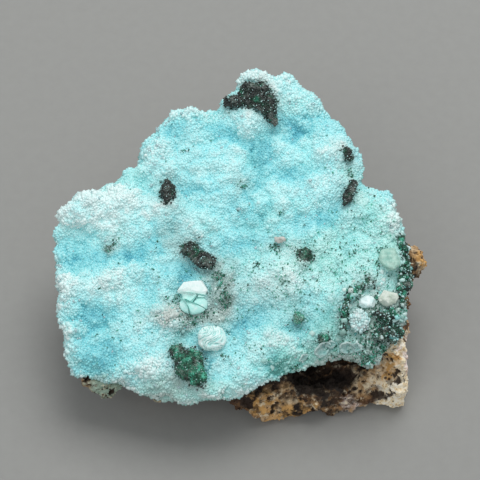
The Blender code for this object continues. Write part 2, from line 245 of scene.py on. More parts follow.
crust = fine_copy("chrysocolla_crust", 0.85, 6)
bumps(crust, "CLOUDS", 6, 2)
bumps(crust, "VORONOI", 3.6, -1.5, 0.45)
bumps(crust, "CLOUDS", 1.1, 0.6, noise_depth=1)
print("crust faces:", len(crust.data.polygons))


def above_face(places):
    """Height of places above the mean plane of the blue face, in millimetres."""
    plane = FACE_HEIGHT + math.tan(FACE_TILT) * (places[:, 1] - FACE_MIDDLE_Y)
    return (places[:, 2] - plane) * FACE_NORMAL[2] / MM

# %% [markdown]
# ## Where the crust is blue, white, green or grey
# The colour of the crust isn't even. The hollows are deep blue, the swells are frosted white with
# coarse quartz, the right half turns green with malachite dust, and a few places are grey or pinkish.
# Such places are listed here as soft patches on the blue face. A little noise makes their edges ragged.
# The same patches then steer the crust, the crystals on it and the specks, so that they agree.

# %% Patches on the blue face
# Each row has x and y of the middle, how far the patch reaches along x and y, and its strength. The
# lengths are in millimetres, from a point near the middle of the face.
PATCH_MIDDLE = (-0.34, -0.55)
FROSTED = (
    (-33, 7.5, 6, 2.5, 1), (-25, 7, 6, 2.3, 1), (-19, 4.5, 4, 3, 0.9), (-39, 3.5, 2.5, 3, 0.9),
    (-28, 1, 4, 1.6, 0.7), (-23, -1.5, 2, 2, 0.4), (-26, -9.5, 4, 2.3, 0.7), (-38, -13, 3, 4, 0.9),
    (-31, -12.5, 6, 2.5, 0.5), (-25, -15, 3, 2, 0.4), (-37.5, -23, 2.2, 4, 0.8),
    (-24, -21, 3, 3, 0.3), (-19, -29.5, 5, 1.8, 0.8), (-15, -20, 4, 3, 0.8), (-10, 26, 8, 1.8, 0.6),
    (-19, 18, 3, 4, 0.4), (3, 35, 4, 3, 0.8), (10, 33.5, 4, 3, 0.7), (2.3, 24, 3, 2.5, 0.9),
    (16, 28, 4, 3, 0.5), (-3, 17.5, 5, 2, 0.35), (-6, 11, 4, 1.8, 0.45), (10, 18, 4, 3, 0.45),
    (21.5, 18, 3, 2.5, 0.8), (17, 10, 3, 2.5, 0.55), (10, 7.5, 4, 2.5, 0.5), (34, 2.5, 2.5, 4, 1),
    (9, -11, 7, 3.5, 0.4), (27, -9, 4, 2.5, 0.35), (8, -23.5, 3, 2.5, 0.7), (-1, -29.5, 5, 2, 0.35),
    (-3, 1, 6, 2, 0.2), (27.5, -15.8, 2.5, 2, 0.8), (32, -15, 2.8, 2.2, 0.6),
    (25.5, -20.3, 2.6, 3, 0.8), (29, -26.6, 5, 1, 0.5), (18, -26.5, 5, 1.2, 0.5),
    (-31, 1.5, 7, 4.5, 0.4))
DEEP_BLUE = (
    (-34, -6, 5, 3.5, 0.6), (-25, -6.3, 3, 2, 0.9), (-20, -3, 4, 5, 0.45), (-32, -18.5, 6, 3, 0.6),
    (-28, -27, 6, 4, 0.55), (-13, -10, 4, 3, 0.6), (-10, 9, 8, 2.5, 0.6), (4, 3, 6, 4, 0.5),
    (0, -3, 4, 3, 0.35), (-2, 22, 5, 3, 0.6), (-13, 22.5, 4, 2.5, 0.5), (13.5, 23, 5, 2.5, 0.9),
    (4.5, 18, 3, 4, 0.6), (12, 13, 7, 2.5, 0.55), (18, 2.5, 6, 2.5, 0.5), (1, -20, 5, 3, 0.5),
    (-11, -22, 2.5, 2.5, 0.9), (9, -29, 3.5, 2, 1.2), (-7, -29, 1.5, 4, 0.9), (17, -20, 5, 5, 0.5))
GREENISH = (
    (20, -7, 17, 8, 0.8), (28, 6, 5, 6, 0.7), (-25, 11.5, 5, 3, 0.5), (24, 13, 3, 4, 0.4),
    (33, -4, 4, 6, 0.7), (20, -22, 9, 6, 0.7), (15, -28, 12, 3, 0.6), (-14, -35, 18, 3, 0.9),
    (9, -29, 4, 3, 0.5), (-11, -22, 3, 3, 0.5), (27.3, -29.5, 3, 3.5, 1.4), (33, -21, 6, 6, 1.3),
    (23, -27, 6, 2, 0.6))
GREYISH = (
    (-4, -13.5, 3.2, 6, 1.6), (-14, -1, 3, 3, 0.6), (-12, -19, 6, 2.5, 1), (-27.6, -3.4, 2, 1.5, 0.9),
    (0.5, 10, 2, 2, 0.5), (5, -15, 6, 4, 0.35), (24, -20, 4, 4, 0.5), (30, -17, 5, 4, 0.5),
    (-16, -34, 8, 2.5, 0.7), (-33, -33, 5, 2.5, 0.9), (8, -4, 3, 2, 0.4), (17, -27, 5, 2, 0.4),
    (27.3, -29.5, 3, 3.5, 1.2), (33.5, -22, 5.5, 5, 1), (24, -26.5, 5, 1.5, 0.6),
    (28.5, -20, 2.5, 5, 0.5), (-8, -19, 4, 1.5, 0.5), (-13, -14, 1.5, 3, 0.5))
PINKISH = (
    (-15, -19.5, 4, 2.5, 0.8), (8, -24, 3, 2.5, 0.6), (21.5, 18, 2.5, 2.5, 0.5),
    (-27, 7.5, 5, 2, 0.15), (-4, -18.5, 3, 1.5, 0.6), (-38, -12, 2, 2, 0.3), (-33, -34, 5, 1.5, 0.6))
COARSE = (
    (-32, 8, 9, 2.5, 1), (-39, -11, 3, 8, 0.9), (-37, -24, 3, 5, 0.9), (-15, -20, 5, 3, 0.8),
    (-26, -10, 5, 2.5, 0.5), (-12, 26, 8, 2.5, 0.8), (-20, 19, 4, 5, 0.7), (4, 35, 9, 2.5, 0.9),
    (16, 29, 5, 4, 0.7), (8, -24, 3, 2.5, 0.8), (-20, -30, 6, 3, 0.8), (34, 3, 3, 5, 0.6))
SPECKLED = (
    (22, -6, 9, 6, 1), (12, -12, 9, 5, 0.8), (28, 4, 6, 5, 0.6), (-28, -23, 6, 4, 0.15),
    (-15, -7, 6, 4, 0.2), (-4, -14, 4, 5, 1.5), (18, -20, 7, 5, 0.5), (24, 14, 2, 3, 0.6),
    (-19, -21, 4, 3, 0.25), (30, -11, 5, 4, 0.8), (16, -27, 8, 2, 0.5), (2, -26, 5, 2, 0.3),
    (27.3, -29, 2, 3, 4), (31, -25, 5, 2, 2.5), (23, -27, 4, 1.5, 1.2), (31, -20, 5, 5, 1.6))
TABLES = (FROSTED, DEEP_BLUE, GREENISH, GREYISH, PINKISH, COARSE, SPECKLED)
print("patches:", sum(map(len, TABLES)))


# %% Read the patches at a place
def distance(places, patch, ragged=0):
    """The square of the distance from a patch's middle, 1 where the patch ends. ragged moves the places
    a little, in millimetres."""
    x = places[:, 0] / MM - PATCH_MIDDLE[0] + ragged
    y = places[:, 1] / MM - PATCH_MIDDLE[1] + 0.8 * ragged
    return ((x - patch[0]) / patch[2]) ** 2 + ((y - patch[1]) / patch[3]) ** 2


def cover(places, patches, ragged):
    """How much a list of patches covers each place."""
    return sum(patch[4] * np.exp(-distance(places, patch, ragged)) for patch in patches)


def raggedness(places):
    """How far the patches are pushed sideways at each place, in millimetres."""
    return 2.4 * noise_at(places, 2.6) + 1.2 * noise_at(places, 1, 7)


def tints(places, normals):
    """The four numbers that colour the crust and its crystals at each place."""
    ragged = raggedness(places)
    # under is full on faces that turn away from the blue face. It makes them greener and greyer, like
    # the crust's underside, and also darker, which is painted shade.
    under = np.clip(-(normals @ FACE_NORMAL) * 2 + 0.2, 0, 1)
    # edge is full on the front rim where it faces forwards, and makes it lighter: partly the crust's
    # paler edge, partly a painted highlight.
    edge = np.exp(-((normals @ FACE_NORMAL - 0.25) / 0.38) ** 2) * np.clip(-normals[:, 1] * 1.5, 0, 1)
    light = (0.53 + 0.36 * cover(places, FROSTED, ragged) + 0.5 * edge
             - 0.54 * cover(places, DEEP_BLUE, ragged)
             + 0.07 * np.clip(above_face(places), -2, 2) + 0.18 * noise_at(places, 4.5, 3)
             + 0.1 * noise_at(places, 1.7, 5) - 0.3 * under)
    green = cover(places, GREENISH, ragged) + 0.35 * noise_at(places, 6, 9) + 0.8 * under
    found = {"light": light, "green": green, "grey": cover(places, GREYISH, ragged) + 0.55 * under,
             "pink": cover(places, PINKISH, ragged)}
    return {name: np.clip(values, 0, 1) for name, values in found.items()}


# %% Raise the frosted swells and deepen the blue hollows
spots = coordinates(crust)
ragged = raggedness(spots)
lift = 0.75 * cover(spots, FROSTED, ragged) - 0.6 * cover(spots, DEEP_BLUE, ragged)
lift *= np.clip(directions(crust) @ FACE_NORMAL, 0, 1) * MM
move_to(crust, spots + FACE_NORMAL * lift[:, None])
crust_tints = tints(coordinates(crust), directions(crust))
print("raised and deepened by up to, in mm:", round(lift.max() / MM, 2), round(lift.min() / MM, 2))
store(crust, hollow=hollowness(crust, 10))

# %% [markdown]
# ## The gossan block
# Gossan is what weathering leaves of an iron ore: a rusty sponge, full of holes. The solid has the
# block and its largest hollows. Holes of several sizes are pushed into it here, and its feet are kept
# flat on the table. Its front right corner keeps the straight side it broke off with.

# %% Shape the gossan
CORNER_SIDE, CORNER_BACK, CORNER_TOP = 36.2 * MM, -21 * MM, 14 * MM

gossan = fine_copy("gossan_matrix", 1, 3)
bumps(gossan, "CLOUDS", 4, 2.6, noise_depth=3)
bumps(gossan, "VORONOI", 5, 2.6, 0.6)
bumps(gossan, "VORONOI", 2.3, 1.6, 0.3, weight_1=-1, weight_2=1)
bumps(gossan, "VORONOI", 1.4, 1, 0.55)
bumps(gossan, "CLOUDS", 0.9, 0.8, noise_depth=1)
spots = coordinates(gossan)
spots[:, 2] = np.maximum(spots[:, 2], 0.02 * MM)
corner = (spots[:, 0] > CORNER_SIDE) & (spots[:, 1] < CORNER_BACK) & (spots[:, 2] < CORNER_TOP)
spots[corner, 0] = CORNER_SIDE + 0.25 * (spots[corner, 0] - CORNER_SIDE)
move_to(gossan, spots)
store(gossan, hollow=hollowness(gossan, 10))
print("gossan faces:", len(gossan.data.polygons))

# %% Patches on the gossan, seen from above, with rows like those of the crust
PALE_ROCK = (
    (-28, -30, 7, 4, 0.6), (35, -28, 5, 6, 1.6), (30.5, -33, 3, 2, 0.7), (38.5, -20, 2, 5, 0.9),
    (7, -33, 3, 2, 0.5), (16, -31, 3, 2, 0.4), (-14, -31, 3, 3, 0.4))
OCHRE_ROCK = (
    (40.5, -3.5, 2.5, 2.5, 1.3), (32.5, -26, 3, 3, 0.9), (12, -34, 5, 2.5, 1.2),
    (4, -32, 4, 2.5, 0.9), (36, -31, 2, 3, 0.5), (20, -33, 3, 2, 0.4))
GREEN_ROCK = (
    (-27, -31, 8, 4, 1), (-16, -32, 4, 2, 0.6), (38.5, -13, 2, 3, 0.5))
PINK_ROCK = (
    (38.2, -21.5, 2.4, 4.5, 1.7), (24, -31, 3, 2, 0.5), (29, -31, 3, 2, 0.4), (-26, -32, 5, 2, 0.5),
    (17, -34, 3, 1.5, 0.5))


def tree_of(*pieces):
    """A search tree of the surfaces of some pieces."""
    points, faces = [], []
    for piece in pieces:
        faces += [[n + len(points) for n in face.vertices] for face in piece.data.polygons]
        points += coordinates(piece).tolist()
    return BVHTree.FromPolygons(points, faces)


# %% Shelter under the crust, for painted shade
roof = tree_of(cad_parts["chrysocolla_crust"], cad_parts["gossan_matrix"])
SKY = unit(np.array([(x, y - 0.6, 1) for x in (-0.7, 0, 0.7) for y in (-0.8, 0, 0.8)]))
ROOF_REACH = 15 * MM


def sheltered(places, normals):
    """The share of the sky on its own side of the block that the solids close by hide from a place. The
    gossan is darkened by it as painted shade.
    """
    hidden = np.zeros(len(places))
    front, back = SKY.tolist(), (SKY * (1, -1, 1)).tolist()
    for row, (place, normal) in enumerate(zip((places + normals * 1.5 * MM).tolist(), normals)):
        ways = back if normal[1] > 0.3 else front
        hidden[row] = sum(roof.ray_cast(place, way, ROOF_REACH)[0] is not None for way in ways)
    return hidden / len(SKY)


def black_oxide_and_shadow(places, ragged):
    """Black in the hollow under the front rim, along the rim, on the ledge below it and at the knob's
    foot: partly black iron oxide, partly painted shadow of the overhanging crust.
    """
    x, y, z = (places / MM).T
    hollow = 1.5 - ((x - 18.5 + ragged) / 10) ** 2 - ((y + 26.5) / 7) ** 2 - ((z - 13 + ragged) / 8) ** 2
    under = 1.3 - ((x - 2 + ragged) / 14) ** 2 - ((z - 13 + 0.6 * ragged) / 5.5) ** 2
    ledge = 0.55 * np.clip(1.5 - abs(x - 15.5) / 8, 0, 1) * (1 + 0.3 * ragged)
    knob = 1.2 - ((x - 38.5 + ragged) / 3) ** 2 - ((y + 9.5) / 4.5) ** 2
    return np.clip(np.maximum.reduce((hollow * 1.6, under, knob, ledge)), 0, 1)


def rock_tints(places, normals):
    """The numbers that colour the gossan and its grains at each place."""
    ragged = 2.4 * noise_at(places, 2.2, 11)
    found = {name: np.clip(cover(places, patches, ragged), 0, 1) for name, patches in (
        ("pale", PALE_ROCK), ("ochre", OCHRE_ROCK), ("pink", PINK_ROCK), ("green", GREEN_ROCK))}
    found["shelter"] = sheltered(places, normals)
    found["black"] = black_oxide_and_shadow(places, ragged)
    return found


gossan_tints = rock_tints(coordinates(gossan), directions(gossan))
store(gossan, **gossan_tints)
print("numbers kept on the gossan:", ", ".join(gossan_tints))

# %% [markdown]
# ## Many small crystals
# A druse is thousands of crystals that stand on end, side by side. Modelling each by hand isn't
# possible, and a particle system would leave instances that other programs can't read. So one crystal
# is modelled, and its points are copied by arithmetic to many places in one joined mesh. The needles,
# the grains and the broken blocks are made in the same way.


# %% Model one quartz crystal, one needle, one grain and one block
def template(obj):
    """The points and faces of a small mesh, after which the object is removed."""
    points = coordinates(obj)
    faces = [tuple(face.vertices) for face in obj.data.polygons]
    bpy.data.objects.remove(obj, do_unlink=True)
    return points, faces


def crystal(sides, shoulder, tip):
    """A prism of that many sides and unit width, standing on z = 0, that ends in a pyramid."""
    bpy.ops.mesh.primitive_cylinder_add(vertices=sides, radius=0.5, depth=shoulder,
                                        location=(0, 0, shoulder / 2), end_fill_type="NGON")
    bpy.ops.object.transform_apply(location=True)
    bpy.ops.object.mode_set(mode="EDIT")
    bpy.ops.mesh.select_mode(type="FACE")
    bpy.ops.mesh.select_all(action="DESELECT")
    bpy.ops.object.mode_set(mode="OBJECT")
    for face in bpy.context.object.data.polygons:
        face.select = face.normal.z > 0.9
    bpy.ops.object.mode_set(mode="EDIT")
    bpy.ops.mesh.poke(offset=tip)
    bpy.ops.object.mode_set(mode="OBJECT")
    return template(bpy.context.object)


quartz_shape = crystal(6, 0.55, 0.5)
needle_shape = crystal(4, 0.8, 0.35)
bpy.ops.mesh.primitive_ico_sphere_add(subdivisions=1, radius=0.5)
grain_shape = template(bpy.context.object)

CORNERS_OFF = (((1, 0.7, 0.8), 0.54), ((-0.8, 1, 0.5), 0.55), ((0.3, -1, 0.9), 0.48),
               ((-1, -0.4, 0.5), 0.5))
bpy.ops.mesh.primitive_cube_add(size=1)
for way, reach in CORNERS_OFF:
    way = unit(np.array(way, float))
    edit(bpy.ops.mesh.bisect, plane_co=way * reach, plane_no=way, use_fill=True, clear_outer=True)
block_shape = template(bpy.context.object)
shapes = (quartz_shape, needle_shape, grain_shape, block_shape)
print("points of crystal, needle, grain, block:", [len(shape[0]) for shape in shapes])


# %% Choose places
def scatter(obj, count, seed, weight=None):
    """Random places on a mesh and the outward direction at each."""
    rng = np.random.default_rng(seed)
    obj.data.calc_loop_triangles()
    corners = rows_of(obj.data.loop_triangles, "vertices", 3, np.int32)
    spots, facing = coordinates(obj), directions(obj)
    a, b, c = (spots[corners[:, n]] for n in range(3))
    share = np.linalg.norm(np.cross(b - a, c - a), axis=1)
    if weight is not None:
        share = share * weight((a + b + c) / 3, facing[corners].mean(1))
    picked = rng.choice(len(share), count, p=share / share.sum())
    u, v = rng.random(count), rng.random(count)
    over = u + v > 1
    u[over], v[over] = 1 - u[over], 1 - v[over]
    mix = np.stack([1 - u - v, u, v], 1)[:, :, None]
    found = (spots[corners[picked]] * mix).sum(1)
    return found, unit((facing[corners[picked]] * mix).sum(1))


def leaning(axes, amount, rng):
    """The same directions, each turned a little at random."""
    return unit(axes + amount * rng.normal(size=axes.shape))


def spaced(places, gap):
    """The rows of places that keep at least that gap to every row kept before them."""
    taken, kept = {}, []
    cells = np.floor(places / gap).astype(int)
    around = [(x, y, z) for x in (-1, 0, 1) for y in (-1, 0, 1) for z in (-1, 0, 1)]
    for row, (place, cell) in enumerate(zip(places.tolist(), map(tuple, cells.tolist()))):
        near = (taken.get((cell[0] + x, cell[1] + y, cell[2] + z)) for x, y, z in around)
        if any(p and math.dist(p, place) < gap for p in near):
            continue
        taken[cell] = place
        kept.append(row)
    return np.array(kept)


def strewn(obj, count, gap, seed, weight=None):
    """Random places on a mesh that keep a gap, and the outward direction at each."""
    spots, facing = scatter(obj, count, seed, weight)
    picked = spaced(spots, gap)
    return spots[picked], facing[picked]


def upward(places, normals):
    """Full on what faces as the blue face does, nothing on what faces away from it."""
    return np.clip(normals @ FACE_NORMAL, 0, 1)


def stacked(rows):
    """The lists of several rows, each kind put end to end."""
    return (np.concatenate(column) for column in zip(*rows))


# %% Join copies
def joined(name, slot, shape, places, axes, widths, heights, seed, **numbers):
    """One mesh of copies of a small shape, each turned at random about its own axis."""
    rng = np.random.default_rng(seed)
    points, faces = shape
    count = len(places)
    side = unit(np.cross(axes, rng.normal(size=(count, 3))))
    across = np.cross(axes, side)
    stretch = 1 + rng.uniform(-0.25, 0.25, count)
    stretched = ((side, widths * stretch), (across, widths / stretch), (axes, heights))
    moved = places[:, None] + sum(points[:, n, None] * (way * size[:, None])[:, None]
                                  for n, (way, size) in enumerate(stretched))
    sizes = np.tile([len(face) for face in faces], count)
    loops = np.concatenate(faces)[None] + np.arange(count)[:, None] * len(points)
    mesh = bpy.data.meshes.new(name)
    mesh.vertices.add(count * len(points))
    mesh.vertices.foreach_set("co", moved.ravel())
    mesh.loops.add(loops.size)
    mesh.loops.foreach_set("vertex_index", loops.ravel())
    mesh.polygons.add(len(sizes))
    mesh.polygons.foreach_set("loop_start", np.concatenate([[0], np.cumsum(sizes)[:-1]]))
    mesh.update(calc_edges=True)
    mesh.validate()
    obj = linked(name, mesh)
    store(obj, **{key: np.repeat(values, len(points)) for key, values in numbers.items()})
    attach(obj, "root")
    print(name, "copies:", count, "triangles:", int((sizes - 2).sum()))
    return obj

# %% [markdown]
# ## Malachite
# The malachite is a fine dark fur of blocky needles, from green to almost black. Each growth gets a
# lumpy body, then a coat of short needles that lean in all directions. A few needles also stand in
# the crust close by, so that the outline frays instead of ending in a clean edge.

# %% Bodies of the malachite growths
MALACHITE_TONES = {
    "cluster_top": 0.22, "tuft_left": 0.08, "tuft_middle": 0.2, "blade_upper": 0.35, "blade_lower": 0.2,
    "cluster_front": 0.68, "tuft_olive": 0.45, "tuft_green": 0.95, "tuft_rim": 0.6, "vein_right": 0.6,
    "cluster_right": 0.5, "band_edge": 0.62}
RUGGED = ("cluster_top", "cluster_front")
BROKEN = ("vein_right", "cluster_right", "band_edge")

growths = {}
for node, tone in MALACHITE_TONES.items():
    body = fine_copy("malachite_" + node, 0.35, 2)
    strength, middle = (3.2, 0.62) if node in BROKEN else (1.3 if node in RUGGED else 0.6, 0.5)
    bumps(body, "CLOUDS", 1.8, strength, middle, noise_depth=1)
    bumps(body, "VORONOI", 0.9, 0.5, 0.45)
    store(body, tone=np.clip(tone + 0.6 * noise_at(coordinates(body), 1.6), 0, 1))
    growths[node] = body
print("malachite faces:", sum(len(body.data.polygons) for body in growths.values()))

# %% Needles on the growths
rng = np.random.default_rng(21)
rows = []
for number, (node, tone) in enumerate(MALACHITE_TONES.items()):
    area = sum(face.area for face in growths[node].data.polygons) / MM ** 2
    spots, facing = strewn(growths[node], int(9 * area) + 30, 0.24 * MM, 100 + number)
    axes = leaning(facing, 0.55, rng)
    widths = rng.uniform(0.24, 0.44, len(spots)) * MM
    heights = widths * rng.uniform(0.7, 1.4, len(spots))
    tones = np.clip(tone + 0.12 * rng.normal(size=len(spots)) + 0.6 * noise_at(spots, 1.6), 0, 1)
    rows.append((spots - axes * heights[:, None] * 0.35, axes, widths, heights, tones))
spots, axes, widths, heights, tones = stacked(rows)
needles = joined("malachite_needles", "malachite", needle_shape, spots, axes, widths, heights, 22,
                 tone=tones)


# %% Needles in the crust around the growths
def gap_to(tree, places, reach):
    """Distance from each place to the nearest surface in a tree, in metres, up to that reach."""
    hits = (tree.find_nearest(place, reach)[3] for place in places.tolist())
    return np.array([reach if hit is None else hit for hit in hits])


growth_tree = tree_of(*growths.values())
spots, facing = scatter(crust, 60000, 23, upward)
gaps = gap_to(growth_tree, spots, 1.5 * MM) + 0.5 * MM * noise_at(spots, 1.4)
rng = np.random.default_rng(24)
picked = rng.random(len(spots)) < 0.75 * np.clip(1 - gaps / (1.2 * MM), 0, 1) ** 1.8
spots, facing = spots[picked], facing[picked]
picked = spaced(spots, 0.3 * MM)
spots, axes = spots[picked], leaning(facing[picked], 0.6, rng)
widths = rng.uniform(0.22, 0.42, len(spots)) * MM
heights = widths * rng.uniform(1, 1.6, len(spots))
tones = np.clip(0.3 + 0.3 * rng.normal(size=len(spots)), 0, 1)
fringe = joined("malachite_fringe", "malachite", needle_shape, spots - axes * 0.05 * MM, axes, widths,
                heights, 25, tone=tones)


# %% Painted shade around the growths
def painted_shade_near_growths(places):
    """How much grey painted shade the crust and its crystals get close to the malachite growths."""
    return 0.75 * np.exp(-gap_to(growth_tree, places, 5 * MM) / (1.2 * MM))


crust_tints["grey"] = np.clip(crust_tints["grey"] + painted_shade_near_growths(coordinates(crust)), 0, 1)
store(crust, **crust_tints)
print("mean grey of the crust:", round(float(crust_tints["grey"].mean()), 2))

# %% [markdown]
# ## Dark specks
# More than a thousand dark green specks, each a needle or two wide, are strewn over the crust. They
# are dense at the right and in nests, and rare at the left.

# %% Nests of specks, where a row's last number is how many specks the nest has
NESTS = (
    (-28, -3.8, 1.1, 0.7, 22), (-26.6, -2.6, 0.8, 0.6, 12), (7.6, -4.4, 1.3, 1.2, 34),
    (-12, 17.2, 0.9, 0.5, 10), (-14.5, -15.5, 1.5, 0.9, 18), (-3, -15.6, 1.2, 1.6, 60),
    (-4.5, -10.2, 1.4, 0.9, 30), (0.8, 9.6, 0.8, 0.8, 10), (24.4, 12.5, 0.6, 1.2, 14),
    (3.8, -8, 1, 0.6, 14), (12.3, -29, 1.5, 0.6, 18), (-3, -27.3, 0.8, 0.5, 10),
    (10.2, -12.4, 0.8, 0.6, 10), (9.2, 3.4, 0.6, 0.4, 8), (-7, -18.5, 2.5, 0.8, 26),
    (-11, -19.8, 3.2, 1.1, 44), (20, -24.5, 1, 0.6, 14), (36, -4, 1.5, 1.5, 30),
    (23, -26.5, 3, 0.7, 24), (28, -24, 1.5, 1, 24), (34.5, -17.6, 1.5, 1, 30),
    (29.3, -19.5, 1, 1.6, 26), (31, -4.6, 1.6, 0.5, 20), (30, -8.5, 0.4, 2, 16),
    (36.2, -10.5, 1, 3, 40), (29.6, -15.2, 0.4, 1.2, 12), (31.5, -25.3, 3.2, 1.3, 60),
    (27.3, -29, 1.4, 2, 60), (35.6, -24, 1.2, 2, 30), (-12.8, -14.5, 0.8, 2, 30),
    (-3.6, -13.5, 0.8, 4, 44), (24.8, -27, 3, 0.8, 30), (22.4, -24, 1.2, 1.6, 20),
    (31, -21.5, 4.5, 4.5, 150), (27.5, -24, 3, 1.5, 50), (26, -18, 1, 5, 50))
print("nests:", len(NESTS))


# %% Specks
def speck_weight(places, normals):
    """Specks lie on what looks up, mostly where the speckled patches are."""
    return upward(places, normals) * (0.015 + cover(places, SPECKLED, 0))


rng = np.random.default_rng(31)
spots, facing = scatter(crust, 760, 32, speck_weight)
all_spots, all_facing = scatter(crust, 60000, 33, upward)
rows = []
for nest in NESTS:
    rows.extend(np.flatnonzero(distance(all_spots, nest) < 1.3)[:nest[4]].tolist())
spots = np.concatenate([spots, all_spots[rows]])
facing = np.concatenate([facing, all_facing[rows]])
grains = rng.integers(1, 3, len(spots))
in_nest = np.repeat(np.arange(len(spots)) >= len(spots) - len(rows), grains)
spots, facing = np.repeat(spots, grains, 0), np.repeat(facing, grains, 0)
spots = spots + facing * 0.16 * MM + rng.normal(size=spots.shape) * 0.12 * MM
axes = leaning(facing, 0.8, rng)
widths = rng.uniform(0.14, 0.32, len(spots)) * MM
heights = widths * rng.uniform(0.8, 1.5, len(spots))
tones = np.clip(0.85 + 0.22 * rng.normal(size=len(spots)) - 0.12 * in_nest, 0, 1)
specks = joined("malachite_specks", "malachite", needle_shape, spots, axes, widths, heights, 34,
                tone=tones)

# %% [markdown]
# ## Pale nodules
# The pale nodules are chalky: a round ball with fibrous slits, one that cracked into angular flakes,
# and lumps of white, cream, pale green and pinkish mineral. Most only need a lumpy skin. Some broke
# off with flat sides: their points are pressed onto planes, because a mesh stays closed under that.
# The slits of the ball are pressed in by a noise that is stretched along the fibres. The flakes of the
# cracked one are copies of it, pressed against the planes of its cracks and then pushed apart.

# %% Chalky lumps
nodules = {}
for node in ("cream", "white", "druse", "plate", "pebble"):
    lump = fine_copy("pale_nodule_" + node, 0.35, 2)
    bumps(lump, "CLOUDS", 1.8, 0.7, noise_depth=1)
    bumps(lump, "VORONOI", 1, -0.3, 0.45)
    nodules[node] = lump
print("lumps:", len(nodules))


# %% Flat sides
def broken(obj, planes, share):
    """Presses a lump flat against planes, then gives it few, flat faces. Each plane is a direction and
    how far out it lies, from 0 to 1."""
    spots = coordinates(obj)
    middle, half = (spots.max(0) + spots.min(0)) / 2, np.ptp(spots, axis=0) / 2
    for way, reach in planes:
        way = unit(np.array(way, float))
        past = (spots - middle - way * half * reach) @ way
        spots = spots - np.maximum(past, 0)[:, None] * way
    move_to(obj, spots)
    apply(obj, "DECIMATE", ratio=share)
    bpy.ops.object.shade_flat()


WHITE_BREAKS = (((-1, 0.2, 0.6), 0.88), ((0.2, 1, 0.5), 0.84), ((0.9, -0.5, 0.6), 0.8),
                ((-0.3, -1, 0.5), 0.86), ((1, 0.8, 0.4), 0.9), ((0.1, -0.2, 1), 0.7),
                ((-0.6, 0.8, 0.9), 0.74))
CREAM_BREAKS = (((-1, 0.5, 0.4), 0.8), ((0.3, 1, 0.6), 0.76), ((0.5, -0.3, 1), 0.7),
                ((-0.5, -1, 0.3), 0.78), ((1, -0.7, 0.3), 0.82), ((-0.5, 0.1, 1), 0.74))
for node, share, breaks in (("white", 0.5, WHITE_BREAKS), ("cream", 0.5, CREAM_BREAKS),
                            ("plate", 0.2, ())):
    broken(nodules[node], breaks, share)
    print(node, "faces:", len(nodules[node].data.polygons))

# %% The round ball and its slits
SLIT_DEPTH = 0.3 * MM
ball = fine_copy("pale_nodule_round", 0.36, 4)
apply(ball, "SUBSURF", levels=1, render_levels=1)
places, outward = coordinates(ball), directions(ball)
middle = places.mean(0)
turn = 0.75 + 1.1 * noise_at(places, 4)
along = (places[:, 0] - middle[0]) * np.cos(turn) + (places[:, 1] - middle[1]) * np.sin(turn)
over = (places[:, 1] - middle[1]) * np.cos(turn) - (places[:, 0] - middle[0]) * np.sin(turn)
fibres = np.stack([along / 1.4, over / 0.15, places[:, 2] / 0.9], 1)
slits = np.clip(noise_at(fibres, 1) * 2.6, 0, 1)
move_to(ball, places - outward * (SLIT_DEPTH * (slits + noise_at(places, 1.6)))[:, None])
store(ball, slit=slits)
nodules["round"] = ball
print("ball faces:", len(ball.data.polygons), "share in slits:", round(float((slits > 0.3).mean()), 2))

# %% Cracks through the nodule
# Each crack has x and y of a point on it, in millimetres, and its turn about the upright in degrees.
CRACKS = ((-10.3, -15.2, -8), (-10.7, -16.8, -24), (-9.9, -16.5, 58), (-11.9, -16.5, 118))
CRACK_HEIGHT = 23.5 * MM
# The first flake is the cap. Each has the side of each crack that it lies on: 1, -1, or 0 for either.
FLAKES = ((1, 0, 0, 0), (-1, 1, 1, 0), (-1, 1, -1, 0), (-1, -1, 0, 1), (-1, -1, 0, -1))
CAP_BREAKS = (((-1, 0.6, 0.5), 0.68), ((1, 0.5, 0.6), 0.72), ((-0.1, 1, 0.5), 0.66),
              ((0.25, -0.3, 1), 0.66), ((-0.5, 0.2, 1), 0.7))
FLAKE_BREAKS = ((((0.3, 0.3, 1), 0.62), ((-0.5, -1, 0.6), 0.72)),
                (((-0.35, 0.1, 1), 0.64), ((0.8, -0.6, 0.6), 0.7)))


def one_side(spots, crack, side):
    """Brings what lies past a crack onto its plane, so that one side is left and stays closed."""
    x, y, turn = crack[0] * MM, crack[1] * MM, math.radians(crack[2])
    way = -side * unit(np.array((-math.sin(turn), math.cos(turn), 0.15)))
    past = (spots - np.array((x, y, CRACK_HEIGHT))) @ way
    return spots - np.maximum(past, 0)[:, None] * way


print("cracks:", len(CRACKS))

# %% The cracked nodule's flakes
whole = fine_copy("pale_nodule_cracked", 0.32, 3)
centre = coordinates(whole).mean(0)
flakes = []
for sides in FLAKES:
    flake = whole.copy()
    flake.data = whole.data.copy()
    bpy.context.scene.collection.objects.link(flake)
    spots = coordinates(flake)
    for crack, side in 3 * [pair for pair in zip(CRACKS, sides) if pair[1]]:
        spots = one_side(spots, crack, side)
    if not flakes:
        spots[:, 0] = centre[0] + 1.2 * (spots[:, 0] - centre[0])
    away = ((spots.max(0) + spots.min(0)) / 2 - centre) * (1, 1, 0)
    tip = np.array([0, 0, 0.25 * MM * math.sin(3 * len(flakes))])
    move_to(flake, spots + away * 0.14 + tip)
    broken(flake, FLAKE_BREAKS[len(flakes) % 2] if flakes else CAP_BREAKS, 0.05)
    flakes.append(flake)
bpy.data.objects.remove(whole, do_unlink=True)
cracked = join("pale_nodule_cracked_flakes", flakes)
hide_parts("pale_nodule_cracked")
nodules["cracked"] = cracked
print("flakes:", len(FLAKES), "faces:", len(cracked.data.polygons))

# %% [markdown]
# ## Curled shells on the front rim
# Along the front rim at the right, thin pale shells of the crust overlap like scales and lean outwards.
# Each is a shallow bowl, cut from a sphere, roughened, given a thickness with a solidify modifier and
# set on edge. Its rim is whiter than its middle.

